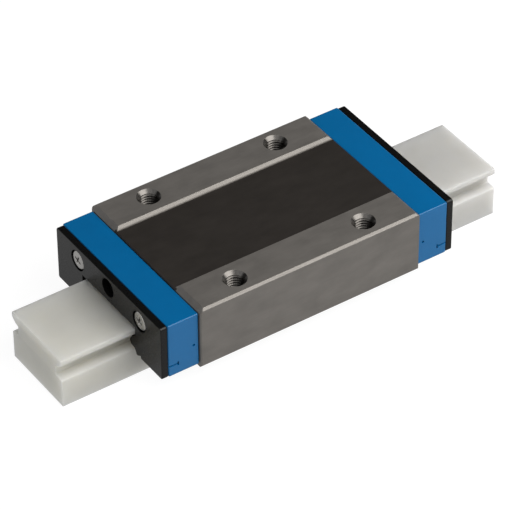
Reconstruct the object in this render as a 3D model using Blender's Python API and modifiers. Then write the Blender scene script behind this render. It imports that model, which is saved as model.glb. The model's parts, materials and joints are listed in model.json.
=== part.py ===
"""Miniature linear guide carriage on its plastic dummy rail.

Metres, +Z up. X runs along the travel and Y across it. The origin is on the underside of the rail, midway
between the two ends of the steel casing. The front end is the one at -X; left (+Y) and right (-Y) are as
seen from the front, looking along +X. Each end mirrors the other, and so does each side.
"""

import math

import bmesh
import bpy
from mathutils import Matrix, Vector

MM = 0.001

# Balls and the loop that they run in
BALL_RADIUS = 1.5875 * MM
BALL_Z = 6.7 * MM
LOADED_ROW_Y = 8.4 * MM
RETURN_ROW_Y = 12.7 * MM
TURN_RADIUS = (RETURN_ROW_Y - LOADED_ROW_Y) / 2
TURN_Y = (RETURN_ROW_Y + LOADED_ROW_Y) / 2
TURN_BALL_ANGLES = (math.radians(41.9), math.radians(138.1))
LOADED_BALLS = 13
LOADED_REACH = 19.63 * MM
RETURN_BALLS = 13
RETURN_REACH = 18.9 * MM
CHANNEL_RADIUS = 1.68 * MM

# Steel casing
CASING_HALF_LENGTH = 21.35 * MM
CASING_HALF_WIDTH = 16.0 * MM
CASING_TOP = 16.0 * MM
CASING_BOTTOM = 4.0 * MM
CASING_CHAMFER = 0.38 * MM
CASING_END_CHAMFER = 0.2 * MM
RECESS_HALF_WIDTH = 8.98 * MM
RECESS_DEPTH = 0.6 * MM
LAND_END_CHAMFER = 0.75 * MM
SADDLE_HALF_WIDTH = 9.0 * MM
SADDLE_ROOF = 10.2 * MM
SADDLE_CHAMFER = 0.4 * MM
RACEWAY_RADIUS = 1.65 * MM
RETURN_BORE_RADIUS = 2.05 * MM
MOUNTING_HOLE_X = 12.5 * MM
MOUNTING_HOLE_Y = 12.5 * MM
MOUNTING_HOLE_RADIUS = 1.5 * MM
MOUNTING_HOLE_DEPTH = 4.0 * MM
COUNTERSINK_RADIUS = 2.08 * MM
DRILL_POINT_HEIGHT = 0.7 * MM

# Moulded end plates, and the return guides that stand in them
PLATE_START = 21.42 * MM
PLATE_END = 27.15 * MM
PLATE_HALF_WIDTH = 15.5 * MM
PLATE_TOP = 15.15 * MM
PLATE_BOTTOM = 4.65 * MM
PLATE_BEVEL = 0.22 * MM
PLATE_SCREW_WAY_RADIUS = 1.1 * MM
PAST_PLATE = PLATE_END * 1.05
GUIDE_HALF_HEIGHT = 1.78 * MM
GUIDE_CLEARANCE = 0.05 * MM
OIL_CHANNEL_RADIUS = 0.9 * MM
OIL_CHANNEL_Z = 12.95 * MM
OIL_POCKET_RADIUS = 1.75 * MM
OIL_POCKET_DEPTH = 3.0 * MM
NOTCH_X = 25.5 * MM
NOTCH_Z = 6.75 * MM
NOTCH_WIDTH = 0.3 * MM
NOTCH_DEPTH = 0.25 * MM
NOTCH_BAR_HALF = 0.4 * MM
PIN_MARK_X = 22.4 * MM
PIN_MARK_Z = 9.05 * MM
PIN_MARK_RADIUS = 0.25 * MM
OIL_GROOVE_WIDTH = 0.9 * MM
OIL_GROOVE_DEPTH = 0.6 * MM

# End seals
SEAL_START = 27.2 * MM
SEAL_END = 28.42 * MM
SEAL_HALF_WIDTH = 15.4 * MM
SEAL_TOP = 15.1 * MM
SEAL_BOTTOM = 4.65 * MM
SEAL_LIP_STEP = 0.45 * MM
SEAL_LIP_WIDTH = 0.4 * MM
SEAL_LIP_HEIGHT = 0.75 * MM
SEAL_GAP = 0.1 * MM
SEAL_BEVEL = 0.12 * MM
SEAL_SCREW_WAY_RADIUS = 1.05 * MM
PAST_SEAL = SEAL_END * 1.05
SEAL_OIL_HOLE_RADIUS = 1.7 * MM

# End screws
SCREW_Y = 9.1 * MM
SCREW_Z = 12.35 * MM
SCREW_HEAD_RADIUS = 1.72 * MM
SCREW_HEAD_OUTER = 28.38 * MM
SCREW_HEAD_INNER = 27.6 * MM
SCREW_SHANK_RADIUS = 0.9 * MM
SCREW_TIP = 16.6 * MM
COUNTERBORE_RADIUS = 1.88 * MM
COUNTERBORE_FLOOR = 27.55 * MM
CROSS_LENGTH = 2.1 * MM
CROSS_WIDTH = 0.5 * MM
CROSS_DEPTH = 0.5 * MM

# Ball retaining wires
WIRE_RADIUS = 0.3 * MM
WIRE_Y = 6.25 * MM
WIRE_HOOK_X = 26.25 * MM
WIRE_HOOK_Y = 7.9 * MM
WIRE_BEND = 0.5 * MM
WIRE_GAP = 0.07 * MM

# Lubricant sleeves in the return bores
SLEEVE_OUTER_RADIUS = 2.0 * MM
SLEEVE_HALF_LENGTH = 21.0 * MM

# Dummy rail
RAIL_START = -42.0 * MM
RAIL_END = 43.3 * MM
RAIL_HALF_WIDTH = 7.4 * MM
RAIL_TOP = 9.5 * MM
RAIL_TOP_ROUNDING = 0.2 * MM
RAIL_FOOT_ROUNDING = 0.1 * MM

ENDS = {"front": -1, "rear": 1}
SIDES = {"left": 1, "right": -1}


# Scene, collections and materials


def clear_scene():
    for old in list(bpy.data.objects):
        bpy.data.objects.remove(old, do_unlink=True)


def new_collection(name):
    collection = bpy.data.collections.new(name)
    bpy.context.scene.collection.children.link(collection)
    return collection


clear_scene()
PARTS = new_collection("linear_guide_carriage")
CUTTERS = new_collection("cutters")


def material(name, colour, roughness, metallic=0.0):
    made = bpy.data.materials.new(name)
    made.use_nodes = True
    shader = made.node_tree.nodes["Principled BSDF"]
    shader.inputs["Base Color"].default_value = (*colour, 1.0)
    shader.inputs["Roughness"].default_value = roughness
    shader.inputs["Metallic"].default_value = metallic
    return made


CASING_STEEL = material("casing_steel", (0.36, 0.34, 0.32), 0.38, 1.0)
BLUE_PLASTIC = material("blue_plastic", (0.004, 0.115, 0.31), 0.42)
GUIDE_PLASTIC = material("guide_plastic", (0.02, 0.02, 0.022), 0.5)
SEAL_RUBBER = material("seal_rubber", (0.02, 0.02, 0.021), 0.35)
SCREW_STEEL = material("screw_steel", (0.62, 0.61, 0.59), 0.3, 1.0)
WIRE_STEEL = material("wire_steel", (0.6, 0.6, 0.6), 0.25, 1.0)
BALL_STEEL = material("ball_steel", (0.75, 0.75, 0.76), 0.08, 1.0)
SLEEVE_RESIN = material("sleeve_resin", (0.72, 0.62, 0.4), 0.6)
RAIL_PLASTIC = material("rail_plastic", (0.72, 0.71, 0.67), 0.4)


# Shapes


def add_cutter(name, bm):
    mesh = bpy.data.meshes.new(name)
    bm.to_mesh(mesh)
    bm.free()
    return add_object(name, mesh, None)


def add_object(name, data, surface):
    """A new object: a sub-part if it is given a material, and a cutter if it isn't."""
    made = bpy.data.objects.new(name, data)
    if surface is None:
        CUTTERS.objects.link(made)
        made.hide_render = True
        made.display_type = "WIRE"
    else:
        PARTS.objects.link(made)
        made.data.materials.append(surface)
    return made


def smooth(part, sharp_degrees=35):
    part.data.shade_smooth()
    part.data.set_sharp_from_angle(angle=math.radians(sharp_degrees))


def box(name, low, high):
    """A cutter between two corners."""
    bm = bmesh.new()
    bmesh.ops.create_cube(bm, size=1.0)
    size = Vector(high) - Vector(low)
    bmesh.ops.scale(bm, vec=size, verts=bm.verts)
    bmesh.ops.translate(bm, vec=Vector(low) + size / 2, verts=bm.verts)
    return add_cutter(name, bm)


def cylinder(name, start, end, radius, sides=24):
    """A round cutter from start to end."""
    bm = bmesh.new()
    run = Vector(end) - Vector(start)
    bmesh.ops.create_cone(
        bm, cap_ends=True, segments=sides, radius1=radius, radius2=radius, depth=run.length
    )
    made = add_cutter(name, bm)
    made.rotation_euler = run.to_track_quat("Z", "Y").to_euler()
    made.location = Vector(start) + run / 2
    return made


def rounded(corners, steps=4):
    """The points of a closed outline. Each corner is (y, z, radius), and a rounded one becomes an arc."""
    points = []
    for index, (y, z, radius) in enumerate(corners):
        here = Vector((y, z))
        if radius == 0:
            points.append(here)
            continue
        back = (Vector(corners[index - 1][:2]) - here).normalized()
        ahead = (Vector(corners[(index + 1) % len(corners)][:2]) - here).normalized()
        half_angle = back.angle(ahead) / 2
        centre = here + (back + ahead).normalized() * radius / math.sin(half_angle)
        start = here + back * radius / math.tan(half_angle) - centre
        end = here + ahead * radius / math.tan(half_angle) - centre
        for step in range(steps + 1):
            spoke = start.lerp(end, step / steps).normalized()
            points.append(centre + spoke * radius)
    return points


def both_halves(left_half):
    """A symmetric outline from the corners of its left half, listed from the top middle downwards."""
    return left_half + [(-y, z, radius) for y, z, radius in reversed(left_half)]


def slab(name, corners, start_x, end_x, surface=None):
    """An outline across the travel, filled and extruded along X."""
    curve = bpy.data.curves.new(name, "CURVE")
    curve.dimensions = "2D"
    curve.fill_mode = "BOTH"
    curve.extrude = abs(end_x - start_x) / 2
    points = rounded(corners)
    spline = curve.splines.new("POLY")
    spline.points.add(len(points) - 1)
    for place, point in zip(spline.points, points):
        place.co = (point.x, point.y, 0, 1)
    spline.use_cyclic_u = True
    outline = bpy.data.objects.new(name + "_outline", curve)
    CUTTERS.objects.link(outline)
    # The curve's own x, y and z become Y, Z and X.
    across = Matrix(((0, 0, 1, 0), (1, 0, 0, 0), (0, 1, 0, 0), (0, 0, 0, 1)))
    outline.matrix_world = Matrix.Translation(((start_x + end_x) / 2, 0, 0)) @ across
    return solid_from_curve(name, outline, surface)


def solid_from_curve(name, source, surface):
    """A mesh object in place of the curve, with its caps welded on and its flat faces whole."""
    bpy.context.view_layer.update()
    graph = bpy.context.evaluated_depsgraph_get()
    mesh = bpy.data.meshes.new_from_object(source.evaluated_get(graph))
    mesh.materials.clear()
    bm = bmesh.new()
    bm.from_mesh(mesh)
    bmesh.ops.remove_doubles(bm, verts=bm.verts, dist=0.001 * MM)
    bmesh.ops.dissolve_limit(bm, angle_limit=math.radians(0.1), verts=bm.verts, edges=bm.edges)
    bmesh.ops.recalc_face_normals(bm, faces=bm.faces)
    bm.to_mesh(mesh)
    bm.free()
    made = add_object(name, mesh, surface)
    made.matrix_world = source.matrix_world
    bpy.data.objects.remove(source)
    return made


def turned(name, profile, surface, steps, axis="Z", centre=(0, 0, 0)):
    """A solid turned about its axis. Its profile is (radius, height), from the top down."""
    mesh = bpy.data.meshes.new(name)
    points = [(radius, 0, height) for radius, height in profile]
    mesh.from_pydata(points, [(i, i + 1) for i in range(len(points) - 1)], [])
    made = add_object(name, mesh, surface)
    turn = made.modifiers.new("turn", "SCREW")
    turn.axis = "Z"
    turn.steps = turn.render_steps = steps
    turn.use_merge_vertices = True
    turn.merge_threshold = 0.001 * MM
    turn.use_smooth_shade = True
    if axis == "X":
        made.rotation_euler = (0, math.radians(90), 0)
    made.location = centre
    return made


def bevel(part, width, segments=2):
    edges = part.modifiers.new("bevel", "BEVEL")
    edges.width = width
    edges.segments = segments
    edges.limit_method = "ANGLE"
    edges.angle_limit = math.radians(40)


def cut(part, *cutters):
    for cutter in cutters:
        difference = part.modifiers.new("cut_" + cutter.name, "BOOLEAN")
        difference.operation = "DIFFERENCE"
        difference.solver = "EXACT"
        difference.object = cutter


def end_chamfer(name, end, edge_x, edge_z, size):
    """A cutter that takes a 45 degree chamfer off an edge that runs across the travel."""
    half = size * math.sqrt(2) / 2
    reach = CASING_HALF_WIDTH * 1.2
    made = box(name, (-half, -reach, -half), (half, reach, half))
    made.rotation_euler = (0, math.radians(45), 0)
    made.location = (end * edge_x, 0, edge_z)
    return made


def upright_chamfer(name, end, side, size):
    """A cutter that takes a 45 degree chamfer off an upright edge at the casing's end."""
    half = size * math.sqrt(2) / 2
    made = box(name, (-half, -half, 0), (half, half, CASING_TOP * 1.2))
    made.rotation_euler = (0, 0, math.radians(45))
    made.location = (end * CASING_HALF_LENGTH, side * CASING_HALF_WIDTH, 0)
    return made


# Casing


def casing():
    floor_half_width = RECESS_HALF_WIDTH - RECESS_DEPTH
    left_half = [
        (floor_half_width, CASING_TOP - RECESS_DEPTH, 0),
        (RECESS_HALF_WIDTH, CASING_TOP, 0),
        (CASING_HALF_WIDTH - CASING_CHAMFER, CASING_TOP, 0),
        (CASING_HALF_WIDTH, CASING_TOP - CASING_CHAMFER, 0),
        (CASING_HALF_WIDTH, CASING_BOTTOM + CASING_CHAMFER, 0),
        (CASING_HALF_WIDTH - CASING_CHAMFER, CASING_BOTTOM, 0),
        (SADDLE_HALF_WIDTH + SADDLE_CHAMFER, CASING_BOTTOM, 0),
        (SADDLE_HALF_WIDTH, CASING_BOTTOM + SADDLE_CHAMFER, 0),
        (SADDLE_HALF_WIDTH, SADDLE_ROOF, 0.6 * MM),
    ]
    block = slab("casing", both_halves(left_half), -CASING_HALF_LENGTH, CASING_HALF_LENGTH, CASING_STEEL)
    for side_name, side in SIDES.items():
        cut(block, through_bore(f"cut_{side_name}_race", side * LOADED_ROW_Y, RACEWAY_RADIUS))
        cut(block, through_bore(f"cut_{side_name}_bore", side * RETURN_ROW_Y, RETURN_BORE_RADIUS))
        for end_name, end in ENDS.items():
            label = f"{end_name}_{side_name}"
            cut(block, mounting_hole(label, end * MOUNTING_HOLE_X, side * MOUNTING_HOLE_Y))
            cut(block, screw_hole(label, end, side))
            cut(block, upright_chamfer(f"cut_{label}_upright", end, side, CASING_END_CHAMFER))
    for end_name, end in ENDS.items():
        name = f"cut_{end_name}_land"
        cut(block, end_chamfer(name, end, CASING_HALF_LENGTH, CASING_TOP, LAND_END_CHAMFER))
    return block


def through_bore(name, y, radius):
    past = CASING_HALF_LENGTH * 1.1
    return cylinder(name, (-past, y, BALL_Z), (past, y, BALL_Z), radius)


def mounting_hole(label, x, y):
    """A cutter for a blind tapped hole: countersink, full-size bore and drill point."""
    above = 0.5 * MM
    depth = MOUNTING_HOLE_DEPTH
    profile = [
        (0, above),
        (COUNTERSINK_RADIUS + above, above),
        (MOUNTING_HOLE_RADIUS, MOUNTING_HOLE_RADIUS - COUNTERSINK_RADIUS),
        (MOUNTING_HOLE_RADIUS, -depth),
        (0, -depth - DRILL_POINT_HEIGHT),
    ]
    return turned(f"cut_{label}_hole", profile, None, 40, centre=(x, y, CASING_TOP))


def screw_hole(label, end, side):
    """The hole in the casing's end face that an end screw is driven into."""
    depth_past_tip = 0.6 * MM
    clearance = 0.08 * MM
    start = (end * (SCREW_TIP - depth_past_tip), side * SCREW_Y, SCREW_Z)
    mouth = (end * CASING_HALF_LENGTH * 1.05, side * SCREW_Y, SCREW_Z)
    return cylinder(f"cut_{label}_screw", start, mouth, SCREW_SHANK_RADIUS + clearance, sides=16)


# End plates and return guides


# The left half of the end plate's opening round the rail, with a tongue into the rail's groove
PLATE_OPENING = [
    (7.65 * MM, RAIL_TOP + 0.25 * MM, 0),
    (7.65 * MM, 7.7 * MM, 0),
    (6.45 * MM, 7.5 * MM, 0),
    (6.05 * MM, 7.1 * MM, 0),
    (6.05 * MM, 6.3 * MM, 0),
    (6.35 * MM, 6.0 * MM, 0),
    (7.75 * MM, 5.75 * MM, 0),
    (8.0 * MM, PLATE_BOTTOM, 0),
    (8.0 * MM, PLATE_BOTTOM - 1.0 * MM, 0),
]


def end_plate(end_name, end):
    """A moulded cap that closes the casing's end and turns both rows of balls round."""
    left_half = [(PLATE_HALF_WIDTH, PLATE_TOP, 0), (PLATE_HALF_WIDTH, PLATE_BOTTOM, 0)]
    start_x, stop_x = end * PLATE_START, end * PLATE_END
    plate = slab(f"{end_name}_end_plate", both_halves(left_half), start_x, stop_x, BLUE_PLASTIC)
    bevel(plate, PLATE_BEVEL)
    opening = both_halves(PLATE_OPENING)
    cut(plate, slab(f"cut_{end_name}_saddle", opening, start_x * 0.98, end * PAST_PLATE))
    for side_name, side in SIDES.items():
        label = f"{end_name}_{side_name}"
        cut(plate, turn_cavity(f"cut_{label}_turn", end, side))
        cut(plate, *wire_slots(label, end, side))
        cut(plate, *side_marks(label, end, side))
        start = (end * CASING_HALF_LENGTH, side * SCREW_Y, SCREW_Z)
        mouth = (end * PAST_PLATE, side * SCREW_Y, SCREW_Z)
        way_name = f"cut_{label}_screw_way"
        cut(plate, cylinder(way_name, start, mouth, PLATE_SCREW_WAY_RADIUS, sides=16))
    cut(plate, *oil_ways(end_name, end))
    return plate


def turn_cavity(name, end, side):
    """A cutter for one turn: the ring that a ball sweeps, and the return guide's pocket."""
    arc_steps = 6
    pocket_radius = TURN_RADIUS + GUIDE_CLEARANCE
    pocket_half_height = GUIDE_HALF_HEIGHT + GUIDE_CLEARANCE
    steepest = math.acos(GUIDE_CLEARANCE / CHANNEL_RADIUS)
    profile = [(0, pocket_half_height), (pocket_radius, pocket_half_height)]
    for step in range(arc_steps + 1):
        angle = steepest - 2 * steepest * step / arc_steps
        profile.append((TURN_RADIUS + CHANNEL_RADIUS * math.cos(angle), CHANNEL_RADIUS * math.sin(angle)))
    profile += [(pocket_radius, -pocket_half_height), (0, -pocket_half_height)]
    return turned(name, profile, None, 20, centre=(end * CASING_HALF_LENGTH, side * TURN_Y, BALL_Z))


def wire_slots(label, end, side):
    """Cutters for the retaining wire's slot and the pocket that its hooked end drops into."""
    inner = WIRE_Y - WIRE_RADIUS - WIRE_GAP
    outer = WIRE_Y + WIRE_RADIUS + WIRE_GAP
    low_z = BALL_Z - WIRE_RADIUS - 0.15 * MM
    high_z = BALL_Z + WIRE_RADIUS + 0.15 * MM
    hook_start = WIRE_HOOK_X - WIRE_RADIUS - 0.2 * MM
    along = (20.0 * MM, PAST_PLATE)
    slot = box_between(f"cut_{label}_slot", end, side, along, (inner, outer), (low_z, high_z))
    hook_width = (inner - 0.1 * MM, WIRE_HOOK_Y + 0.4 * MM)
    hook_height = (low_z - 0.12 * MM, high_z + 0.12 * MM)
    hook_length = (hook_start, PAST_PLATE)
    hook = box_between(f"cut_{label}_hook", end, side, hook_length, hook_width, hook_height)
    return slot, hook


def side_marks(label, end, side):
    """Cutters for a T-shaped notch by the seal and a pin mark by the casing."""
    past = PLATE_HALF_WIDTH + 0.4 * MM
    middle = NOTCH_X - NOTCH_WIDTH / 2
    stem_y = (PLATE_HALF_WIDTH - NOTCH_DEPTH, past)
    stem_z = (NOTCH_Z - NOTCH_WIDTH / 2, NOTCH_Z + NOTCH_WIDTH / 2)
    stem = box_between(f"cut_{label}_stem", end, side, (middle, PAST_PLATE), stem_y, stem_z)
    bar_x = (NOTCH_X - NOTCH_WIDTH, NOTCH_X)
    bar_y = (PLATE_HALF_WIDTH - NOTCH_DEPTH - 0.1 * MM, past)
    bar_z = (NOTCH_Z - NOTCH_BAR_HALF, NOTCH_Z + NOTCH_BAR_HALF)
    bar = box_between(f"cut_{label}_bar", end, side, bar_x, bar_y, bar_z)
    pin_start = (end * PIN_MARK_X, side * (PLATE_HALF_WIDTH - NOTCH_DEPTH), PIN_MARK_Z)
    pin_end = (end * PIN_MARK_X, side * past, PIN_MARK_Z)
    return stem, bar, cylinder(f"cut_{label}_pin_mark", pin_start, pin_end, PIN_MARK_RADIUS, sides=12)


def box_between(name, end, side, along, across, height):
    """A box cutter from its distances from the middle, mirrored to the end and side asked for."""
    xs = sorted(end * x for x in along)
    ys = sorted(side * y for y in across)
    return box(name, (xs[0], ys[0], height[0]), (xs[1], ys[1], height[1]))


def oil_ways(end_name, end):
    """Cutters for the lubrication hole, its wide mouth and its grooves to the two turns."""
    start = (end * CASING_HALF_LENGTH, 0, OIL_CHANNEL_Z)
    mouth = (end * PAST_PLATE, 0, OIL_CHANNEL_Z)
    hole = cylinder(f"cut_{end_name}_oil", start, mouth, OIL_CHANNEL_RADIUS, sides=16)
    pocket_floor = (end * (PLATE_END - OIL_POCKET_DEPTH), 0, OIL_CHANNEL_Z)
    pocket = cylinder(f"cut_{end_name}_pocket", pocket_floor, mouth, OIL_POCKET_RADIUS, sides=32)
    xs = sorted((end * CASING_HALF_LENGTH, end * (PLATE_START + OIL_GROOVE_DEPTH)))
    half = OIL_GROOVE_WIDTH / 2
    drop_y = TURN_Y - 0.2 * MM
    level = OIL_CHANNEL_Z - 2.2 * MM
    groove = box(f"cut_{end_name}_groove", (xs[0], -drop_y, level - half), (xs[1], drop_y, level + half))
    stem = box(f"cut_{end_name}_stem", (xs[0], -half, level - half * 0.9), (xs[1], half, OIL_CHANNEL_Z))
    drops = [
        box_between(
            f"cut_{end_name}_{side_name}_drop",
            1,
            side,
            xs,
            (drop_y - OIL_GROOVE_WIDTH, drop_y + 0.1 * MM),
            (BALL_Z, level + half * 0.9),
        )
        for side_name, side in SIDES.items()
    ]
    return [hole, pocket, groove, stem, *drops]


def return_guide(end_name, end, side_name, side):
    """The inner half of a turn: half a spool whose waist is hollowed to the path of the balls."""
    waist_steps = 6
    profile = [(0, GUIDE_HALF_HEIGHT), (TURN_RADIUS, GUIDE_HALF_HEIGHT)]
    for step in range(waist_steps + 1):
        angle = math.radians(90) - math.radians(180) * step / waist_steps
        reach = TURN_RADIUS - CHANNEL_RADIUS * math.cos(angle)
        profile.append((reach, CHANNEL_RADIUS * math.sin(angle)))
    profile += [(TURN_RADIUS, -GUIDE_HALF_HEIGHT), (0, -GUIDE_HALF_HEIGHT)]
    label = f"{end_name}_{side_name}"
    centre = (end * CASING_HALF_LENGTH, side * TURN_Y, BALL_Z)
    guide = turned(f"{label}_return_guide", profile, GUIDE_PLASTIC, 20, centre=centre)
    reach = TURN_RADIUS * 1.5
    across = (TURN_Y - reach, TURN_Y + reach)
    height = (BALL_Z - reach, BALL_Z + reach)
    cut(guide, box_between(f"cut_{label}_half", end, side, (0, PLATE_START), across, height))
    return guide


# End seals


def seal_opening(gap, headroom):
    """The outline of the opening round the rail, with a tongue into each of the rail's grooves."""
    left_half = [
        (RAIL_HALF_WIDTH + gap, RAIL_TOP + headroom, 0),
        (RAIL_HALF_WIDTH + gap, 8.3 * MM, 0),
        (6.0 * MM + gap, 7.15 * MM, 0),
        (5.8 * MM + gap, 6.6 * MM, 0),
        (6.05 * MM + gap, 5.95 * MM, 0),
        (7.15 * MM + gap, 5.72 * MM, 0),
        (7.6 * MM + gap, 4.95 * MM, 0),
        (7.7 * MM + gap, SEAL_BOTTOM - 1.0 * MM, 0),
    ]
    return both_halves(left_half)


def foot_notch(name, end, side):
    """A cutter for the small notch in the seal's lower edge, beside the lip."""
    corners = [(8.35, 4.3), (8.35, 4.75), (9.25, 5.25), (9.45, 4.3)]
    outline = [(side * y * MM, z * MM, 0) for y, z in corners]
    return slab(name, outline, end * CASING_HALF_LENGTH, end * PAST_SEAL)


def end_seal(end_name, end):
    left_half = [
        (SEAL_HALF_WIDTH, SEAL_TOP, 0.5 * MM),
        (SEAL_HALF_WIDTH, SEAL_BOTTOM, 0.3 * MM),
    ]
    start_x, stop_x = end * SEAL_START, end * SEAL_END
    seal = slab(f"{end_name}_end_seal", both_halves(left_half), start_x, stop_x, SEAL_RUBBER)
    bevel(seal, SEAL_BEVEL)
    past = end * PAST_SEAL
    tight = seal_opening(SEAL_GAP, SEAL_GAP)
    wide = seal_opening(SEAL_LIP_WIDTH, SEAL_LIP_HEIGHT)
    cut(seal, slab(f"cut_{end_name}_opening", tight, end * CASING_HALF_LENGTH, past))
    cut(seal, slab(f"cut_{end_name}_lip", wide, end * (SEAL_END - SEAL_LIP_STEP), past))
    for side_name, side in SIDES.items():
        label = f"{end_name}_{side_name}"
        y = side * SCREW_Y
        start, mouth = (end * CASING_HALF_LENGTH, y, SCREW_Z), (past, y, SCREW_Z)
        floor = (end * COUNTERBORE_FLOOR, y, SCREW_Z)
        way_name = f"cut_{label}_seal_way"
        cut(seal, cylinder(way_name, start, mouth, SEAL_SCREW_WAY_RADIUS, sides=16))
        cut(seal, cylinder(f"cut_{label}_counterbore", floor, mouth, COUNTERBORE_RADIUS, sides=32))
        cut(seal, foot_notch(f"cut_{label}_notch", end, side))
    start, mouth = (end * CASING_HALF_LENGTH, 0, OIL_CHANNEL_Z), (past, 0, OIL_CHANNEL_Z)
    cut(seal, cylinder(f"cut_{end_name}_seal_oil", start, mouth, SEAL_OIL_HOLE_RADIUS, sides=32))
    return seal


# End screws, retaining wires and lubricant sleeves


def end_screw(end_name, end, side_name, side):
    """A cross-recess screw along X. Its profile's heights are distances from the carriage's middle."""
    dome = 0.15 * MM
    rim = 0.25 * MM
    profile = [
        (0, SCREW_HEAD_OUTER),
        (SCREW_HEAD_RADIUS * 0.6, SCREW_HEAD_OUTER - dome * 0.3),
        (SCREW_HEAD_RADIUS - rim, SCREW_HEAD_OUTER - dome),
        (SCREW_HEAD_RADIUS, SCREW_HEAD_OUTER - dome - rim),
        (SCREW_HEAD_RADIUS, SCREW_HEAD_INNER),
        (SCREW_SHANK_RADIUS, SCREW_HEAD_INNER),
        (SCREW_SHANK_RADIUS, SCREW_TIP + 0.3 * MM),
        (SCREW_SHANK_RADIUS - 0.3 * MM, SCREW_TIP),
        (0, SCREW_TIP),
    ]
    label = f"{end_name}_{side_name}"
    screw = turned(f"{label}_end_screw", profile, SCREW_STEEL, 20, "X", (0, side * SCREW_Y, SCREW_Z))
    screw.rotation_euler = (0, math.radians(90) * end, 0)
    for turn in (0, 90):
        cut(screw, cross_slot(f"cut_{label}_cross_{turn}", end, side, turn))
    return screw


def cross_slot(name, end, side, turn):
    """One bar of the cross recess, tapering inwards."""
    bm = bmesh.new()
    bmesh.ops.create_cube(bm, size=1.0)
    for corner in bm.verts:
        taper = 0.55 if corner.co.z < 0 else 1.0
        corner.co.x *= CROSS_LENGTH * taper
        corner.co.y *= CROSS_WIDTH * taper
        corner.co.z *= CROSS_DEPTH * 2
    bar = add_cutter(name, bm)
    bar.matrix_world = (
        Matrix.Translation((end * SCREW_HEAD_OUTER, side * SCREW_Y, SCREW_Z))
        @ Matrix.Rotation(math.radians(90) * end, 4, "Y")
        @ Matrix.Rotation(math.radians(turn + 20), 4, "Z")
    )
    return bar


def retaining_wire(side_name, side):
    """A wire along the rail side of the loaded row, hooked outwards into both end plates."""
    path = rounded_path(
        [
            Vector((-WIRE_HOOK_X, side * WIRE_HOOK_Y, BALL_Z)),
            Vector((-WIRE_HOOK_X, side * WIRE_Y, BALL_Z)),
            Vector((WIRE_HOOK_X, side * WIRE_Y, BALL_Z)),
            Vector((WIRE_HOOK_X, side * WIRE_HOOK_Y, BALL_Z)),
        ],
        WIRE_BEND,
    )
    curve = bpy.data.curves.new(f"{side_name}_retaining_wire", "CURVE")
    curve.dimensions = "3D"
    curve.bevel_depth = WIRE_RADIUS
    curve.bevel_resolution = 2
    curve.use_fill_caps = True
    spline = curve.splines.new("POLY")
    spline.points.add(len(path) - 1)
    for place, point in zip(spline.points, path):
        place.co = (*point, 1)
    route = bpy.data.objects.new(f"{side_name}_wire_route", curve)
    CUTTERS.objects.link(route)
    wire = solid_from_curve(f"{side_name}_retaining_wire", route, WIRE_STEEL)
    smooth(wire)
    return wire


def rounded_path(corners, radius, steps=3):
    """An open path with each inner corner, a right angle, turned into an arc."""
    path = [corners[0]]
    for before, here, after in zip(corners, corners[1:], corners[2:]):
        back = (before - here).normalized() * radius
        ahead = (after - here).normalized() * radius
        for step in range(steps + 1):
            angle = math.radians(90) * step / steps
            path.append(here + back * (1 - math.sin(angle)) + ahead * (1 - math.cos(angle)))
    return path + [corners[-1]]


def lubricant_sleeve(side_name, side):
    centre = (0, side * RETURN_ROW_Y, BALL_Z)
    profile = [
        (CHANNEL_RADIUS, SLEEVE_HALF_LENGTH),
        (SLEEVE_OUTER_RADIUS, SLEEVE_HALF_LENGTH),
        (SLEEVE_OUTER_RADIUS, -SLEEVE_HALF_LENGTH),
        (CHANNEL_RADIUS, -SLEEVE_HALF_LENGTH),
        (CHANNEL_RADIUS, SLEEVE_HALF_LENGTH),
    ]
    return turned(f"{side_name}_lubricant_sleeve", profile, SLEEVE_RESIN, 18, "X", centre)


# Balls


def ball(name, mesh, x, y):
    made = bpy.data.objects.new(name, mesh)
    PARTS.objects.link(made)
    made.location = (x, y, BALL_Z)
    return made


def ball_mesh():
    bm = bmesh.new()
    bmesh.ops.create_uvsphere(bm, u_segments=8, v_segments=6, radius=BALL_RADIUS)
    mesh = bpy.data.meshes.new("ball")
    bm.to_mesh(mesh)
    bm.free()
    mesh.materials.append(BALL_STEEL)
    mesh.shade_smooth()
    return mesh


def balls():
    mesh = ball_mesh()
    pitch = 2 * LOADED_REACH / (LOADED_BALLS - 1)
    for side_name, side in SIDES.items():
        for index in range(LOADED_BALLS):
            x = index * pitch - LOADED_REACH
            ball(f"{side_name}_ball_{index + 1:02d}", mesh, x, side * LOADED_ROW_Y)
        for end_name, end in ENDS.items():
            for index, angle in enumerate(TURN_BALL_ANGLES):
                x = CASING_HALF_LENGTH + TURN_RADIUS * math.sin(angle)
                y = TURN_Y - TURN_RADIUS * math.cos(angle)
                ball(f"{end_name}_{side_name}_turn_ball_{index + 1}", mesh, end * x, side * y)


def return_train(side_name, side):
    """The balls on their way back, just touching, as one string turned about X."""
    pitch = 2 * RETURN_REACH / (RETURN_BALLS - 1)
    touch = math.acos(pitch / 2 / BALL_RADIUS)
    points_per_ball = 5
    profile = [(0, RETURN_REACH + BALL_RADIUS)]
    for index in range(RETURN_BALLS):
        centre = RETURN_REACH - index * pitch
        first = 0 if index == 0 else touch
        last = math.pi if index == RETURN_BALLS - 1 else math.pi - touch
        for step in range(1 if index == 0 else 0, points_per_ball):
            angle = first + (last - first) * step / points_per_ball
            profile.append((BALL_RADIUS * math.sin(angle), centre + BALL_RADIUS * math.cos(angle)))
    profile.append((0, -RETURN_REACH - BALL_RADIUS))
    centre = (0, side * RETURN_ROW_Y, BALL_Z)
    return turned(f"{side_name}_return_balls", profile, BALL_STEEL, 8, "X", centre)


# Dummy rail


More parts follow.
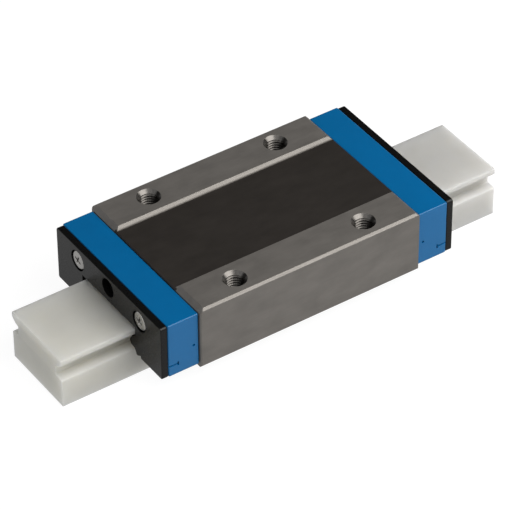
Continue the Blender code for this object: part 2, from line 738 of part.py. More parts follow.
def dummy_rail():
    """A plastic stand-in for the rail, which keeps the balls in while the carriage is off its rail."""
    left_half = [
        (RAIL_HALF_WIDTH, RAIL_TOP, RAIL_TOP_ROUNDING),
        (RAIL_HALF_WIDTH, 8.5 * MM, 0),
        (6.4 * MM, 7.7 * MM, 0),
        (5.6 * MM, 7.5 * MM, 0.2 * MM),
        (5.6 * MM, 5.62 * MM, 0.15 * MM),
        (7.05 * MM, 5.6 * MM, 0),
        (RAIL_HALF_WIDTH, 5.35 * MM, 0),
        (RAIL_HALF_WIDTH, 0, RAIL_FOOT_ROUNDING),
    ]
    return slab("dummy_rail", both_halves(left_half), RAIL_START, RAIL_END, RAIL_PLASTIC)


def build():
    casing()
    dummy_rail()
    balls()
    for end_name, end in ENDS.items():
        end_plate(end_name, end)
        end_seal(end_name, end)
        for side_name, side in SIDES.items():
            return_guide(end_name, end, side_name, side)
            end_screw(end_name, end, side_name, side)
    for side_name, side in SIDES.items():
        retaining_wire(side_name, side)
        lubricant_sleeve(side_name, side)
        return_train(side_name, side)


build()
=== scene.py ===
"""Looks of a miniature linear guide carriage on its dummy rail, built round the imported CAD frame.

Metres, +Z up. X runs along the travel, with the front at -X, and Y runs across it, with the left at +Y.
Overall sizes and places are read from the frame. The details that the looks add or follow are named below.
"""

import json
import math

import bmesh
import bpy
from mathutils import Matrix, Vector


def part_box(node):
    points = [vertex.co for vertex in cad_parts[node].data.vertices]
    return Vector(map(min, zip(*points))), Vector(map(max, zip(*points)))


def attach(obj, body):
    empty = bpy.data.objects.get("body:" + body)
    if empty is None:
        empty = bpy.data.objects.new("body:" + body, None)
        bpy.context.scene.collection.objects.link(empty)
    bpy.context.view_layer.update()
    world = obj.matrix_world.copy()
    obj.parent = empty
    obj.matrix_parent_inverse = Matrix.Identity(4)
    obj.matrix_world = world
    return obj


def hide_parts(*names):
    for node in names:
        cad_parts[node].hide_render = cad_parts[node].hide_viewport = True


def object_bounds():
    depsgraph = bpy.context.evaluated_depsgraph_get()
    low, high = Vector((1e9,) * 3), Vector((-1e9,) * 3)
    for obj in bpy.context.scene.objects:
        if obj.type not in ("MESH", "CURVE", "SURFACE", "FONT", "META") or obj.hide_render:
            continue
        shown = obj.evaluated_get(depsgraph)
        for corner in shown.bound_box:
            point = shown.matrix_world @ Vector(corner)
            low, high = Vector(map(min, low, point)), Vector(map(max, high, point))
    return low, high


MM = 0.001

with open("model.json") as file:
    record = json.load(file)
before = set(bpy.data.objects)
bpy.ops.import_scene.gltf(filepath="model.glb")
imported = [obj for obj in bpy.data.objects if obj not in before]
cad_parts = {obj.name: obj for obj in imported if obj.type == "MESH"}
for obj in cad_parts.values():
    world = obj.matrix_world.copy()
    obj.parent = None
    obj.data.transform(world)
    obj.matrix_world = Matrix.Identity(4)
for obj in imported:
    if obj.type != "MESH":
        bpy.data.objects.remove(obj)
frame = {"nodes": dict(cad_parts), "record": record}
CAD_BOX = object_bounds()
NODES = frame["nodes"]
BODY_NODES = frame["record"]["behaviour"]["bodies"]
BODIES = {node: body for body, nodes in BODY_NODES.items() for node in nodes}

# Sizes of the CAD solids, from the frame
CASING_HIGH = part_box("casing")[1]
RAIL_LOW, RAIL_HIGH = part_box("dummy_rail")
BALL_LOW, BALL_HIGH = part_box("left_ball_01")
BALL_RADIUS = (BALL_HIGH.z - BALL_LOW.z) / 2

# Balls in each return bore, which are one CAD solid
RETURN_BALLS = 13

# The casing's details, which its colours follow. The skin is the depth that still counts as the top.
RECESS_DEPTH = 0.6 * MM
RECESS_HALF_WIDTH = 8.38 * MM
RECESS_TOP_HALF_WIDTH = RECESS_HALF_WIDTH + RECESS_DEPTH
RECESS_FLOOR = CASING_HIGH.z - RECESS_DEPTH
RECESS_EDGE_DEPTH = 0.4 * MM
SLOPE_FADE = 0.27 * MM
CASING_CHAMFER = 0.38 * MM
HOLE_X = 12.5 * MM
HOLE_Y = 12.5 * MM
HOLE_REACH = 5.0 * MM
COUNTERSINK_RADIUS = 2.1 * MM
SKIN = 0.01 * MM

# Threads in the mounting holes. The height at the ends is a share of the full height.
THREAD_ROOT_RADIUS = 1.52 * MM
THREAD_CREST_RADIUS = 1.28 * MM
THREAD_PITCH = 0.5 * MM
THREAD_ROOT_HALF_WIDTH = THREAD_PITCH * 0.44
THREAD_CREST_HALF_WIDTH = THREAD_PITCH * 0.07
THREAD_TURNS = 6
THREAD_STEPS = 28
THREAD_FADE_TURNS = 0.25
THREAD_END_HEIGHT = 0.05
THREAD_START_DEPTH = 0.78 * MM
THREAD_START_ANGLE = math.radians(-35)

# End screws. The dome is (depth below its top, share of the head's radius), and the taper is the share of
# its width that the cross keeps at its foot.
SCREW_DOME = ((0.01 * MM, 0.62), (0.04 * MM, 0.8), (0.11 * MM, 0.92), (0.24 * MM, 0.985), (0.38 * MM, 1.0))
SCREW_HEAD_DEPTH = 0.8 * MM
SCREW_SHANK_RADIUS = 0.9 * MM
SCREW_TURN_DEGREES = 20
SCREW_CROSS_DEPTH = 0.65 * MM
SCREW_CROSS_LENGTH = 2.2 * MM
SCREW_CROSS_WIDTH = 0.5 * MM
SCREW_CROSS_TAPER = 0.5

# The dummy rail and the plates' lubrication ports
RAIL_EDGE_ROUNDING = 0.22 * MM
OIL_PORT_Z = 12.95 * MM
OIL_PORT_RADIUS = 1.8 * MM

# Steel
GROUND_STEEL = (0.182, 0.171, 0.158)
# Lightens the colour of the bevels as a painted highlight
BEVEL_HIGHLIGHT_GAIN = 1.2
OXIDE = (0.040, 0.035, 0.031)
STEEL_METALLIC = 0.48
STEEL_ROUGHNESS = 0.5
STEEL_GLOSS = 0.3
HOLE_COLOUR = (0.13, 0.123, 0.115)
HOLE_ROUGHNESS = 0.3
# Darker than HOLE_COLOUR as painted shade deep in the holes
THREAD_COLOUR_WITH_SHADE = (0.088, 0.083, 0.077)
SCREW_COLOUR = (0.5, 0.49, 0.47)
WIRE_COLOUR = (0.6, 0.6, 0.6)
BALL_COLOUR = (0.72, 0.72, 0.73)

# Plastic, rubber and paper
# The black inside the lubrication port is painted shade
BLUE = (0.0003, 0.118, 0.31)
PORT_SHADE = (0.004, 0.004, 0.004)
GUIDE_COLOUR = (0.02, 0.02, 0.022)
RUBBER = (0.004, 0.004, 0.004)
SLEEVE_COLOUR = (0.6, 0.48, 0.26)
# The front is yellower and also lighter, and the rear darker: painted light and shade that even out the
# key light, which falls more on the rear
RAIL_FRONT_TINT_AND_LIGHT = (0.56, 0.555, 0.515)
RAIL_REAR_TINT_AND_SHADE = (0.49, 0.488, 0.475)
RAIL_ROUGHNESS = 0.42
RAIL_GLOSS = 0.3
LIGHT_REACH = 9.0 * MM
LIGHT_REACH_BY_COLOUR = (1.0, 0.95, 0.85)
PAPER = (0.15, 0.15, 0.15)

# How much fine detail counts in the noise, and its blotches in each metre of x, y and z
NOISE_ROUGHNESS = 0.55
GRINDING = (140, 7000, 7000)
STEEL_MOTTLE = (220, 420, 420)
CUTTING_MARKS = (3000, 3000, 3000)
MOULD_PEEL = (3200, 3200, 3200)
MOULD_CLOUDS = (260, 260, 260)
RAIL_PEEL = (900, 1800, 1800)
RAIL_CLOUDS = (120, 170, 170)
SCREW_MARKS = (2500, 2500, 2500)
DRAWING_MARKS = (300, 9000, 9000)
POLISHING_MARKS = (900, 900, 900)
PAPER_CLOUDS = (9, 9, 9)

# Camera
CAMERA_AIM = Vector((-1.14, -1.44, 7.8)) * MM
CAMERA_AZIMUTH = math.radians(-34.01)
CAMERA_ELEVATION = math.radians(39.84)
CAMERA_ROLL = math.radians(-0.43)
CAMERA_DISTANCE = 573.4 * MM
CAMERA_LENS_MM = 248.6
CAMERA_SENSOR_MM = 36
CAMERA_CLIP_START = 10 * MM

# Surroundings. The tent's brightness fades between two heights, where 0 is level and 1 is overhead.
TENT_WHITE = 1.0
TENT_DARK = 0.02
TENT_WHITE_TO = 0.05
TENT_DARK_FROM = 0.25
FLOOR_HALF_SIZE = 3.0
FLOOR_GAP = 0.02 * MM
FLOOR_GLOW = 0.92
FLOOR_SPILL = 0.4

# Steps in which places and planes are told apart, and the angles from which an edge looks sharp
PLACE_STEP = 0.001 * MM
PLANE_STEP = 0.02 * MM
SHARP_DEGREES = 40
SHARP_DEGREES_BY_SLOT = {"blue_plastic": 50, "seal_rubber": 50, "casing_steel": 30}


# Camera, lights and floor


def sight(azimuth, elevation):
    """The direction from the object to a viewer; azimuth 0 is a viewer at -Y."""
    flat = math.cos(elevation)
    return Vector((math.sin(azimuth) * flat, -math.cos(azimuth) * flat, math.sin(elevation)))


def add_camera():
    data = bpy.data.cameras.new("camera")
    data.lens = CAMERA_LENS_MM
    data.sensor_width = CAMERA_SENSOR_MM
    data.clip_start = CAMERA_CLIP_START
    camera = add_object("camera", data)
    back = sight(CAMERA_AZIMUTH, CAMERA_ELEVATION)
    camera.location = CAMERA_AIM + back * CAMERA_DISTANCE
    facing = back.to_track_quat("Z", "Y").to_matrix().to_4x4()
    camera.rotation_euler = (facing @ Matrix.Rotation(CAMERA_ROLL, 4, "Z")).to_euler()
    bpy.context.scene.camera = camera


def add_softbox(name, azimuth, elevation, distance, width, height, watts, colour):
    """An area light that faces the object from a direction given in degrees."""
    data = bpy.data.lights.new(name, "AREA")
    data.shape = "RECTANGLE"
    data.size = width
    data.size_y = height
    data.energy = watts
    data.color = colour
    light = add_object(name, data)
    towards = sight(math.radians(azimuth), math.radians(elevation))
    light.location = towards * distance
    light.rotation_euler = towards.to_track_quat("Z", "Y").to_euler()


def add_studio():
    """A warm key from the camera's right, a light overhead, and a cool fill that faces the front."""
    add_softbox(
        "key", azimuth=34, elevation=46, distance=0.36, width=0.4, height=0.27,
        watts=1.6, colour=(1.0, 0.985, 0.965),
    )
    add_softbox(
        "overhead", azimuth=-45, elevation=70, distance=0.5, width=0.4, height=0.4,
        watts=0.62, colour=(1.0, 1.0, 1.0),
    )
    add_softbox(
        "side_fill", azimuth=-88, elevation=24, distance=0.5, width=0.4, height=0.4,
        watts=0.52, colour=(0.97, 0.985, 1.0),
    )
    bpy.context.scene.world = studio_world()
    bpy.context.scene.view_settings.view_transform = "Standard"


def studio_world():
    """White up to the horizon and dark overhead, as in a light tent with its top left open."""
    world = bpy.data.worlds.new("studio")
    world.use_nodes = True
    tree = world.node_tree
    direction = tree.nodes.new("ShaderNodeTexCoord").outputs["Generated"]
    axes = tree.nodes.new("ShaderNodeSeparateXYZ")
    tree.links.new(direction, axes.inputs[0])
    fade = tree.nodes.new("ShaderNodeMapRange")
    fade.inputs["From Min"].default_value = TENT_WHITE_TO
    fade.inputs["From Max"].default_value = TENT_DARK_FROM
    fade.inputs["To Min"].default_value = TENT_WHITE
    fade.inputs["To Max"].default_value = TENT_DARK
    tree.links.new(axes.outputs["Z"], fade.inputs["Value"])
    background = tree.nodes["Background"]
    background.inputs["Color"].default_value = (1, 1, 1, 1)
    tree.links.new(fade.outputs["Result"], background.inputs["Strength"])
    return world


def add_floor():
    bm = bmesh.new()
    bmesh.ops.create_grid(bm, x_segments=2, y_segments=2, size=FLOOR_HALF_SIZE)
    floor = add_object("floor", finished_mesh("floor", bm))
    floor.location.z = CAD_BOX[0][2] - FLOOR_GAP
    floor.data.materials.append(floor_material())


# Objects and meshes


def add_object(name, data):
    made = bpy.data.objects.new(name, data)
    bpy.context.scene.collection.objects.link(made)
    return made


def finished_mesh(name, bm):
    mesh = bpy.data.meshes.new(name)
    bm.to_mesh(mesh)
    bm.free()
    return mesh


def apply_modifiers(piece):
    """The piece's mesh becomes what its modifiers make of it."""
    bpy.context.view_layer.update()
    graph = bpy.context.evaluated_depsgraph_get()
    piece.data = bpy.data.meshes.new_from_object(piece.evaluated_get(graph))
    piece.modifiers.clear()


def smooth(piece, sharp_degrees):
    piece.data.shade_smooth()
    piece.data.set_sharp_from_angle(angle=math.radians(sharp_degrees))


def soften_shading(node, sharp_degrees):
    """Shading normals that run smoothly over a CAD solid's facets. The vertices stay where they are.

    Facets that meet at less than the given angle share a normal, in which a wide flat face outweighs a
    narrow bevel. The facets of one flat face count as one.
    """
    mesh = node.data
    least_cosine = math.cos(math.radians(sharp_degrees))
    spots = [tuple(round(value / PLACE_STEP) for value in vertex.co) for vertex in mesh.vertices]
    facets = [(facet, facet.normal.copy(), flat_face(facet)) for facet in mesh.polygons]
    areas = {}
    meeting = {}
    for facet, normal, flat in facets:
        areas[flat] = areas.get(flat, 0.0) + facet.area
        for corner in facet.vertices:
            meeting.setdefault(spots[corner], {})[flat] = normal
    shaded = []
    for facet, normal, flat in facets:
        for corner in facet.vertices:
            shaded.append(shared_normal(normal, meeting[spots[corner]], areas, least_cosine))
    mesh.shade_smooth()
    mesh.normals_split_custom_set(shaded)


def flat_face(facet):
    """A key that is the same for all the facets of one flat face."""
    offset = facet.normal.dot(facet.center)
    return (*(round(value, 2) for value in facet.normal), round(offset / PLANE_STEP))


def shared_normal(normal, meeting, areas, least_cosine):
    """The mean, by area, of the normals that meet at a corner and are near enough to the given one."""
    total = Vector()
    for flat, other in meeting.items():
        if other.dot(normal) > least_cosine:
            total += other * areas[flat]
    return total.normalized()


def refined_copy(node, name):
    """A copy of a CAD solid with whole flat faces in place of its facets."""
    bm = bmesh.new()
    bm.from_mesh(NODES[node].data)
    bmesh.ops.remove_doubles(bm, verts=bm.verts, dist=PLACE_STEP)
    bmesh.ops.dissolve_limit(bm, angle_limit=math.radians(1), verts=bm.verts, edges=bm.edges)
    return add_object(name, finished_mesh(name, bm))


def round_edges(piece, width, segments, sharp_degrees):
    rounding = piece.modifiers.new("round", "BEVEL")
    rounding.width = width
    rounding.segments = segments
    rounding.limit_method = "ANGLE"
    rounding.angle_limit = math.radians(sharp_degrees)
    rounding.miter_outer = "MITER_ARC"
    apply_modifiers(piece)


def add_turned(name, profile, steps):
    """A closed solid turned about X. Its profile is (place along X, radius) from end to end."""
    bm = bmesh.new()
    rings = []
    for along, radius in profile:
        if radius < PLACE_STEP:
            rings.append([bm.verts.new((along, 0, 0))])
            continue
        turns = [2 * math.pi * step / steps for step in range(steps)]
        places = [(along, radius * math.cos(turn), radius * math.sin(turn)) for turn in turns]
        rings.append([bm.verts.new(place) for place in places])
    for first, second in zip(rings, rings[1:]):
        for step in range(steps):
            after = (step + 1) % steps
            corners = [first[step % len(first)], first[after % len(first)]]
            corners += [second[after % len(second)], second[step % len(second)]]
            bm.faces.new(list(dict.fromkeys(corners)))
    bmesh.ops.recalc_face_normals(bm, faces=bm.faces)
    return add_object(name, finished_mesh(name, bm))


def stands_for(piece, node, material):
    """The piece is shown in place of a CAD node, and moves as it does."""
    piece.data.materials.clear()
    piece.data.materials.append(material)
    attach(piece, BODIES[node])
    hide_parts(node)


# Materials


class Surface:
    """A Principled material, with short ways to add nodes to it.

    Places are in metres in the object's frame, and a share is a value from 0 to 1.
    """

    def __init__(self, name, colour, roughness, metallic=0.0):
        self.material = bpy.data.materials.new(name)
        self.material.use_nodes = True
        self.tree = self.material.node_tree
        self.shader = self.tree.nodes["Principled BSDF"]
        self.set("Base Color", (*colour, 1))
        self.set("Roughness", roughness)
        self.set("Metallic", metallic)
        self.place = self.add("ShaderNodeTexCoord").outputs["Object"]

    def add(self, kind, **settings):
        node = self.tree.nodes.new(kind)
        for key, value in settings.items():
            setattr(node, key, value)
        return node

    def link(self, source, target):
        self.tree.links.new(source, target)

    def set(self, socket, value):
        """One value all over the surface."""
        self.shader.inputs[socket].default_value = value

    def drive(self, socket, value):
        """A value that varies over the surface."""
        self.link(value, self.shader.inputs[socket])

    def noise(self, per_metre, detail):
        """Noise from 0 to 1."""
        stretch = self.add("ShaderNodeVectorMath", operation="MULTIPLY")
        self.link(self.place, stretch.inputs[0])
        stretch.inputs[1].default_value = per_metre
        texture = self.add("ShaderNodeTexNoise")
        texture.inputs["Scale"].default_value = 1.0
        texture.inputs["Detail"].default_value = detail
        texture.inputs["Roughness"].default_value = NOISE_ROUGHNESS
        self.link(stretch.outputs[0], texture.inputs["Vector"])
        return texture.outputs["Fac"]

    def math(self, operation, first, second=0.0):
        node = self.add("ShaderNodeMath", operation=operation)
        for socket, value in zip(node.inputs, (first, second)):
            if isinstance(value, (int, float)):
                socket.default_value = value
            else:
                self.link(value, socket)
        return node.outputs[0]

    def times(self, first, second):
        return self.math("MULTIPLY", first, second)

    def ramp(self, value, start, stop, low, high, kind="LINEAR"):
        """Low where the value is at start, high where it is at stop, and a blend in between."""
        node = self.add("ShaderNodeMapRange", interpolation_type=kind)
        node.inputs["From Min"].default_value = start
        node.inputs["From Max"].default_value = stop
        node.inputs["To Min"].default_value = low
        node.inputs["To Max"].default_value = high
        self.link(value, node.inputs["Value"])
        return node.outputs["Result"]

    def spread(self, share, low, high):
        """A 0 to 1 value spread between low and high."""
        return self.ramp(share, 0.0, 1.0, low, high)

    def blend(self, share, first, second):
        """A colour between two, which are colours or sockets."""
        node = self.add("ShaderNodeMix", data_type="RGBA")
        self.link(share, node.inputs["Factor"])
        for socket, colour in ((node.inputs[6], first), (node.inputs[7], second)):
            if isinstance(colour, tuple):
                socket.default_value = (*colour, 1)
            else:
                self.link(colour, socket)
        return node.outputs[2]

    def varied(self, share, colour, swing):
        """A colour that is darker or lighter by up to the swing."""
        return self.blend(share, tint(colour, 1 - swing), tint(colour, 1 + swing))

    def axes(self):
        """The x, y and z of each point."""
        node = self.add("ShaderNodeSeparateXYZ")
        self.link(self.place, node.inputs[0])
        return node.outputs[:]

    def within(self, radius, first, second):
        """1 within the radius of an axis, 0 farther out. The two distances to it are at right angles."""
        squares = self.math("ADD", self.times(first, first), self.times(second, second))
        return self.math("LESS_THAN", squares, radius * radius)

    def bump(self, height, depth, strength):
        node = self.add("ShaderNodeBump")
        node.inputs["Strength"].default_value = strength
        node.inputs["Distance"].default_value = depth
        self.link(height, node.inputs["Height"])
        self.drive("Normal", node.outputs["Normal"])


def tint(colour, factor):
    return tuple(channel * factor for channel in colour)


def casing_steel():
    """Ground steel with its grain along the travel, and its bevels lightened as a painted highlight.

    The recess between the lands is dark and unground, and the mounting holes are darker and smoother.
    """
    steel = Surface("casing_steel", GROUND_STEEL, STEEL_ROUGHNESS, STEEL_METALLIC)
    steel.set("Specular IOR Level", STEEL_GLOSS)
    grain = steel.noise(GRINDING, 4.0)
    mottle = steel.noise(STEEL_MOTTLE, 2.0)
    fine = steel.spread(grain, low=-0.4, high=0.4)
    tone = steel.math("ADD", fine, steel.spread(mottle, low=-0.4, high=1.4))
    x, y, z = steel.axes()
    plain = steel.varied(tone, GROUND_STEEL, swing=0.14)
    # Painted highlight: the bevels get a lighter colour
    bevel_highlight = steel.blend(on_bevel(steel, y, z), plain, tint(GROUND_STEEL, BEVEL_HIGHLIGHT_GAIN))
    dark = steel.varied(tone, OXIDE, swing=0.15)
    outside = steel.blend(in_recess(steel, y, z), bevel_highlight, dark)
    hole = in_hole(steel, x, y, z)
    steel.drive("Base Color", steel.blend(hole, outside, HOLE_COLOUR))
    rough = steel.spread(grain, low=STEEL_ROUGHNESS - 0.08, high=STEEL_ROUGHNESS + 0.08)
    smoother = steel.times(hole, HOLE_ROUGHNESS - STEEL_ROUGHNESS)
    steel.drive("Roughness", steel.math("ADD", rough, smoother))
    steel.drive("Metallic", steel.spread(hole, low=STEEL_METALLIC, high=1.0))
    steel.bump(grain, depth=0.004 * MM, strength=0.5)
    return steel.material


def in_recess(steel, y, z):
    """1 on the recess's floor and the edge under its ends, fading to 0 up its slopes, and 0 elsewhere."""
    fade = steel.ramp(z, RECESS_FLOOR, RECESS_FLOOR + SLOPE_FADE, 1.0, 0.0, "SMOOTHSTEP")
    above = steel.math("GREATER_THAN", z, RECESS_FLOOR - RECESS_EDGE_DEPTH)
    inside = steel.math("LESS_THAN", steel.math("ABSOLUTE", y), RECESS_TOP_HALF_WIDTH)
    return steel.times(fade, steel.times(above, inside))


def on_bevel(steel, y, z):
    """1 on the slopes of the recess and the chamfers of the long top edges, where the painted highlight
    goes, and 0 elsewhere.
    """
    across = steel.math("ABSOLUTE", y)
    under_top = steel.math("LESS_THAN", z, CASING_HIGH.z - SKIN)
    high = steel.math("GREATER_THAN", z, CASING_HIGH.z - CASING_CHAMFER)
    outer = steel.math("GREATER_THAN", across, CASING_HIGH.y - CASING_CHAMFER)
    inner = steel.math("LESS_THAN", across, RECESS_TOP_HALF_WIDTH)
    slope = steel.times(inner, steel.math("GREATER_THAN", z, RECESS_FLOOR))
    return steel.times(under_top, steel.math("MAXIMUM", steel.times(high, outer), slope))


def in_hole(steel, x, y, z):
    """1 inside the mounting holes and their countersinks, and 0 elsewhere."""
    along = steel.math("SUBTRACT", steel.math("ABSOLUTE", x), HOLE_X)
    across = steel.math("SUBTRACT", steel.math("ABSOLUTE", y), HOLE_Y)
    depth = steel.math("SUBTRACT", CASING_HIGH.z, z)
    sunk = steel.math("GREATER_THAN", depth, SKIN)
    shallow = steel.math("LESS_THAN", depth, HOLE_REACH)
    return steel.times(steel.within(COUNTERSINK_RADIUS, along, across), steel.times(sunk, shallow))


def thread_steel():
    """Freshly cut steel with glints, painted darker than the holes' steel as painted shade deep in the
    holes.
    """
    steel = Surface("thread_steel", THREAD_COLOUR_WITH_SHADE, HOLE_ROUGHNESS, 1.0)
    marks = steel.noise(CUTTING_MARKS, 2.0)
    # Painted shade: darker than the hole's steel
    steel.drive("Base Color", steel.varied(marks, THREAD_COLOUR_WITH_SHADE, swing=0.2))
    rough = steel.spread(marks, low=HOLE_ROUGHNESS - 0.06, high=HOLE_ROUGHNESS + 0.06)
    steel.drive("Roughness", rough)
    return steel.material


def bright_steel(name, colour, roughness, marks_per_metre):
    """Polished or drawn steel with faint marks."""
    steel = Surface(name, colour, roughness, 1.0)
    marks = steel.noise(marks_per_metre, 3.0)
    steel.drive("Base Color", steel.varied(marks, colour, swing=0.1))
    steel.drive("Roughness", steel.spread(marks, low=roughness * 0.75, high=roughness * 1.3))
    return steel.material


def moulded(name, colour, roughness, grain=0.25, gloss=0.5):
    """Injection-moulded plastic or rubber: an even colour with a faint orange-peel surface.

    The grain is how strong the orange peel is, and the gloss is the specular level.
    """
    plastic = Surface(name, colour, roughness)
    plastic.set("Specular IOR Level", gloss)
    peel = plastic.noise(MOULD_PEEL, 2.0)
    clouds = plastic.noise(MOULD_CLOUDS, 2.0)
    plastic.drive("Base Color", plastic.varied(clouds, colour, swing=0.07))
    plastic.drive("Roughness", plastic.spread(peel, low=roughness - 0.05, high=roughness + 0.07))
    plastic.bump(peel, depth=0.006 * MM, strength=grain)
    return plastic


def plate_plastic():
    """Blue plastic, painted black inside the lubrication port as painted shade."""
    plastic = moulded("blue_plastic", BLUE, roughness=0.3)
    blue = plastic.shader.inputs["Base Color"].links[0].from_socket
    y, z = plastic.axes()[1:]
    port = plastic.within(OIL_PORT_RADIUS, y, plastic.math("SUBTRACT", z, OIL_PORT_Z))
    # Painted shade: black inside the port
    plastic.drive("Base Color", plastic.blend(port, blue, PORT_SHADE))
    return plastic.material


def rail_plastic():
    """Milky plastic that light soaks into, a little yellower towards the front, and lighter at the front
    and darker at the rear as painted light and shade.
    """
    plastic = Surface("rail_plastic", RAIL_FRONT_TINT_AND_LIGHT, RAIL_ROUGHNESS)
    plastic.set("Subsurface Weight", 1.0)
    plastic.set("Subsurface Radius", LIGHT_REACH_BY_COLOUR)
    plastic.set("Subsurface Scale", LIGHT_REACH)
    plastic.set("Specular IOR Level", RAIL_GLOSS)
    clouds = plastic.noise(RAIL_CLOUDS, 3.0)
    peel = plastic.noise(RAIL_PEEL, 2.0)
    # Lighter at the front and darker at the rear: painted light and shade along the rail
    front = plastic.varied(clouds, RAIL_FRONT_TINT_AND_LIGHT, swing=0.08)
    rear = plastic.varied(clouds, RAIL_REAR_TINT_AND_SHADE, swing=0.08)
    x = plastic.axes()[0]
    along = plastic.ramp(x, RAIL_LOW.x, RAIL_HIGH.x, 0.0, 1.0)
    plastic.drive("Base Color", plastic.blend(along, front, rear))
    plastic.drive("Roughness", plastic.spread(peel, low=0.28, high=0.4))
    plastic.bump(peel, depth=0.01 * MM, strength=0.25)
    return plastic.material


def floor_material():
    """White paper lit from behind, so that only the contact shadow shows.

    It lights the object less than its seen glow would.
    """
    paper = Surface("floor_paper", PAPER, roughness=0.9)
    paper.set("Specular IOR Level", 0.0)
    paper.set("Emission Color", (1, 1, 1, 1))
    paper.drive("Base Color", paper.varied(paper.noise(PAPER_CLOUDS, 2.0), PAPER, swing=1 / 15))
    seen = paper.add("ShaderNodeLightPath").outputs["Is Camera Ray"]
    paper.drive("Emission Strength", paper.spread(seen, low=FLOOR_SPILL, high=FLOOR_GLOW))
    return paper.material


# Pieces


def carriage_looks():
    """The CAD solids that keep their shape, each with its finished material."""
    looks = {
        "casing_steel": casing_steel(),
        "blue_plastic": plate_plastic(),
        "guide_plastic": moulded("guide_plastic", GUIDE_COLOUR, roughness=0.5).material,
        "seal_rubber": moulded("seal_rubber", RUBBER, roughness=0.28, grain=0.12, gloss=0.26).material,
        "screw_steel": bright_steel("screw_steel", SCREW_COLOUR, 0.28, SCREW_MARKS),
        "wire_steel": bright_steel("wire_steel", WIRE_COLOUR, 0.22, DRAWING_MARKS),
        "sleeve_resin": moulded("sleeve_resin", SLEEVE_COLOUR, roughness=0.6, grain=0.8).material,
        "ball_steel": bright_steel("ball_steel", BALL_COLOUR, 0.07, POLISHING_MARKS),
        "rail_plastic": rail_plastic(),
    }
    for entry in frame["record"]["subparts"]:
        node = NODES[entry["node"]]
        slot = entry["material_slot"]
        node.data.materials.clear()
        node.data.materials.append(looks[slot])
        soften_shading(node, SHARP_DEGREES_BY_SLOT.get(slot, SHARP_DEGREES))
    return looks


def add_balls(material):
    """Smooth steel balls in place of the faceted ones."""
    bm = bmesh.new()
    bmesh.ops.create_uvsphere(bm, u_segments=32, v_segments=20, radius=BALL_RADIUS)
    mesh = finished_mesh("ball_shape", bm)
    mesh.shade_smooth()
    for node in sorted(NODES):
        if "_ball_" not in node:
            continue
        low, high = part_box(node)
        ball = add_object(node + "_polished", mesh)
        ball.location = (low + high) / 2
        stands_for(ball, node, material)


def add_return_rows(material):
    """The balls in each return bore, as one string of spheres that just touch."""
    for node in ("left_return_balls", "right_return_balls"):
        low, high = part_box(node)
        reach = (high.x - low.x) / 2 - BALL_RADIUS
        row = add_turned(node + "_polished", string_of_balls(reach), steps=24)
        row.location = (low + high) / 2
        smooth(row, sharp_degrees=50)
        stands_for(row, node, material)


def string_of_balls(reach):
    """The profile of a row of balls, whose end ones have their middles at the reach either way."""
    steps = 12
    last_ball = RETURN_BALLS - 1
    pitch = 2 * reach / last_ball
    touch = math.acos(pitch / 2 / BALL_RADIUS)
    profile = []
    for index in range(RETURN_BALLS):
        first = 0 if index == 0 else touch
        last = math.pi if index == last_ball else math.pi - touch
        centre = index * pitch - reach
        for step in range(0 if index == 0 else 1, steps + 1):
            angle = first + (last - first) * step / steps
            profile.append((centre - BALL_RADIUS * math.cos(angle), BALL_RADIUS * math.sin(angle)))
    return profile


def add_threads(material):
    """The screw thread in each mounting hole."""
    start_z = CASING_HIGH.z - THREAD_START_DEPTH
    for x_side, x_name in ((-1, "front"), (1, "rear")):
        for y_side, y_name in ((1, "left"), (-1, "right")):
            name = f"{x_name}_{y_name}_thread"
            thread = add_object(name, finished_mesh(name, thread_ridge()))
            thread.location = (x_side * HOLE_X, y_side * HOLE_Y, start_z)
            thread.data.materials.append(material)
            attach(thread, "carriage")


def thread_ridge():
    """A ridge that winds down from the origin, and rises from and sinks back to the wall at its ends."""
    bm = bmesh.new()
    total = THREAD_STEPS * THREAD_TURNS
    fade_steps = THREAD_STEPS * THREAD_FADE_TURNS
    sections = []
    for step in range(total + 1):
        angle = THREAD_START_ANGLE + 2 * math.pi * step / THREAD_STEPS
        rise = max(THREAD_END_HEIGHT, min(1.0, step / fade_steps, (total - step) / fade_steps))
        shape = thread_section(-THREAD_PITCH * step / THREAD_STEPS, rise)
        places = [(radius * math.cos(angle), radius * math.sin(angle), z) for radius, z in shape]
        sections.append([bm.verts.new(place) for place in places])
    for here, ahead in zip(sections, sections[1:]):
        for corner in range(4):
            after = (corner + 1) % 4
            bm.faces.new((here[corner], here[after], ahead[after], ahead[corner]))
    bm.faces.new(sections[0])
    bm.faces.new(sections[-1])
    bmesh.ops.recalc_face_normals(bm, faces=bm.faces)
    return bm


def thread_section(height, rise):
    """The corners of the ridge's section, as (radius, z). The rise is a share of its full height."""
    crest = THREAD_ROOT_RADIUS + (THREAD_CREST_RADIUS - THREAD_ROOT_RADIUS) * rise
    return (
        (THREAD_ROOT_RADIUS, height + THREAD_ROOT_HALF_WIDTH),
        (crest, height + THREAD_CREST_HALF_WIDTH),
        (crest, height - THREAD_CREST_HALF_WIDTH),
        (THREAD_ROOT_RADIUS, height - THREAD_ROOT_HALF_WIDTH),
    )


def add_rail(material):
    """The dummy rail with the soft edges of a moulding."""
    rail = refined_copy("dummy_rail", "dummy_rail_moulded")
    round_edges(rail, RAIL_EDGE_ROUNDING, segments=4, sharp_degrees=40)
    smooth(rail, sharp_degrees=30)
    stands_for(rail, "dummy_rail", material)


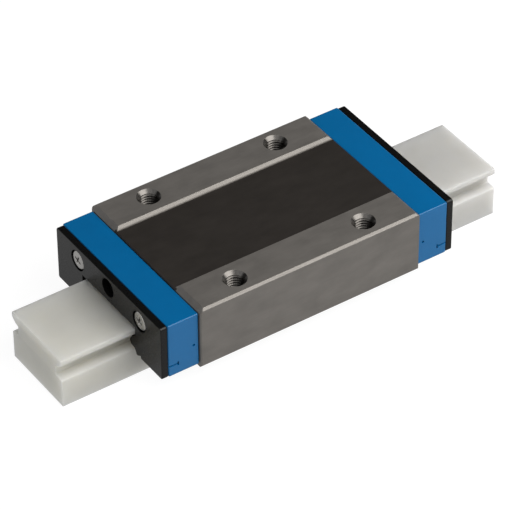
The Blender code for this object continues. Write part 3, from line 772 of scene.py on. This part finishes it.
def add_screws(material):
    """Pan-headed screws with a tapered cross recess, in place of the CAD ones."""
    for node in sorted(NODES):
        if not node.endswith("_end_screw"):
            continue
        low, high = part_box(node)
        outward = -1 if node.startswith("front") else 1
        face = low.x if outward < 0 else high.x
        profile = screw_profile(outward, high.x - low.x, (high.z - low.z) / 2)
        screw = add_turned(node + "_turned", profile, steps=40)
        carve_cross(screw, outward)
        screw.data.transform(Matrix.Translation((face, (low.y + high.y) / 2, (low.z + high.z) / 2)))
        smooth(screw, sharp_degrees=35)
        stands_for(screw, node, material)


def screw_profile(outward, length, radius):
    """The profile of a domed head and a plain shank, with the head's face at 0."""
    profile = [
        (0, 0),
        *((depth, radius * share) for depth, share in SCREW_DOME),
        (SCREW_HEAD_DEPTH, radius),
        (SCREW_HEAD_DEPTH, SCREW_SHANK_RADIUS),
        (length - SCREW_SHANK_RADIUS / 2, SCREW_SHANK_RADIUS),
        (length, SCREW_SHANK_RADIUS / 2),
        (length, 0),
    ]
    return [(-outward * depth, out) for depth, out in profile]


def carve_cross(screw, outward):
    """Cuts the cross recess into a screw whose face is at the origin."""
    bars = [cross_bar(outward, SCREW_TURN_DEGREES + turn) for turn in (0, 90)]
    for bar in bars:
        carve = screw.modifiers.new("cross", "BOOLEAN")
        carve.operation = "DIFFERENCE"
        carve.solver = "EXACT"
        carve.object = bar
    apply_modifiers(screw)
    for bar in bars:
        bpy.data.objects.remove(bar)


def cross_bar(outward, turn):
    """One bar of a screw's cross recess, narrower at its foot and centred on the screw's face."""
    bm = bmesh.new()
    bmesh.ops.create_cube(bm, size=1.0)
    for corner in bm.verts:
        inner = corner.co.x * outward < 0
        taper = SCREW_CROSS_TAPER if inner else 1.0
        corner.co.x *= SCREW_CROSS_DEPTH * 2
        corner.co.y *= SCREW_CROSS_LENGTH * taper
        corner.co.z *= SCREW_CROSS_WIDTH * taper
    bmesh.ops.rotate(bm, verts=bm.verts, matrix=Matrix.Rotation(math.radians(turn), 3, "X"))
    return add_object("cross_bar", finished_mesh("cross_bar", bm))


def build():
    add_camera()
    add_studio()
    add_floor()
    looks = carriage_looks()
    add_balls(looks["ball_steel"])
    add_return_rows(looks["ball_steel"])
    add_threads(thread_steel())
    add_rail(looks["rail_plastic"])
    add_screws(looks["screw_steel"])


build()
